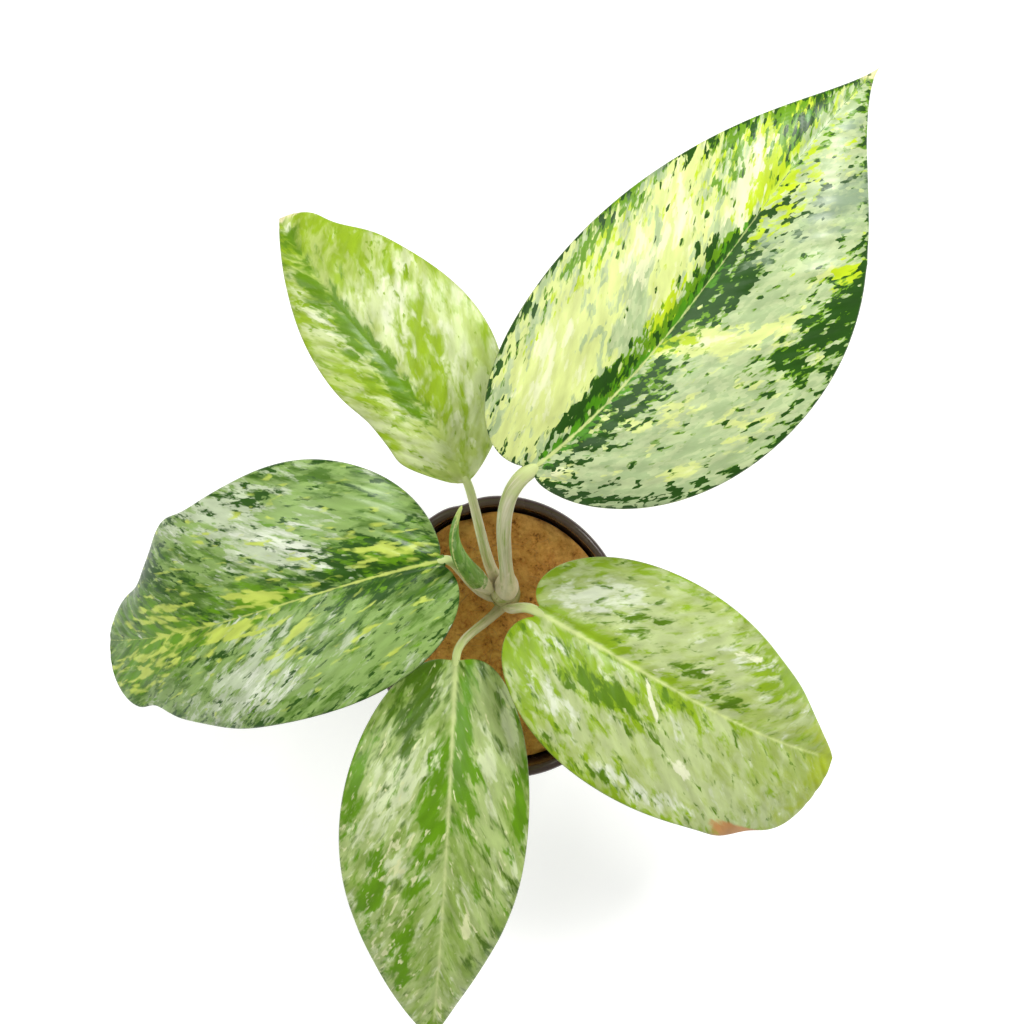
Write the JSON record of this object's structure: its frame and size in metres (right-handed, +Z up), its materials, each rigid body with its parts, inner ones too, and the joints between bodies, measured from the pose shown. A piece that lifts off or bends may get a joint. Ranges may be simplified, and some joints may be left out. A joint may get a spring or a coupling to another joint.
{
  "type": "potted plant",
  "caption": "Young variegated aglaonema with broad cream and green leaves on long pale stalks, in a plain round nursery pot filled with coir.",
  "frame": {"origin": "middle of the pot's flat underside", "axes": "+Z up along the pot, +Y towards the back of the plant, +X to its right"},
  "size_m": [0.2692, 0.3338, 0.2243],
  "materials": {
    "pot": "dark red-brown polypropylene with a soft sheen",
    "coir": "moist orange-brown coconut coir, matt and crumbly",
    "cane": "pale beige-green living cane, satin",
    "petiole": "pale cream leaf stalk with green streaks, satin",
    "leaf_back_right": "cream and silver leaf with dark green flecks, waxy gloss",
    "leaf_back_left": "pale cream-green leaf with a bright green midrib band, waxy gloss",
    "leaf_left": "dark green leaf with cream-yellow flecks, waxy gloss",
    "leaf_front": "mid green leaf with pale patches, waxy gloss",
    "leaf_front_right": "pale green leaf with lime streaks, waxy gloss",
    "new_leaf": "rolled young leaf, mid green with a yellow-green tip, satin"
  },
  "bodies": {
    "root": {"pot": "pot", "soil": "coir", "stem": "cane", "petiole_back_right": "petiole", "petiole_back_left": "petiole", "petiole_left": "petiole", "petiole_front": "petiole", "petiole_front_right": "petiole", "blade_back_right": "leaf_back_right", "blade_back_left": "leaf_back_left", "blade_left": "leaf_left", "blade_front": "leaf_front", "blade_front_right": "leaf_front_right", "new_leaf": "new_leaf"}
  },
  "joints": []
}
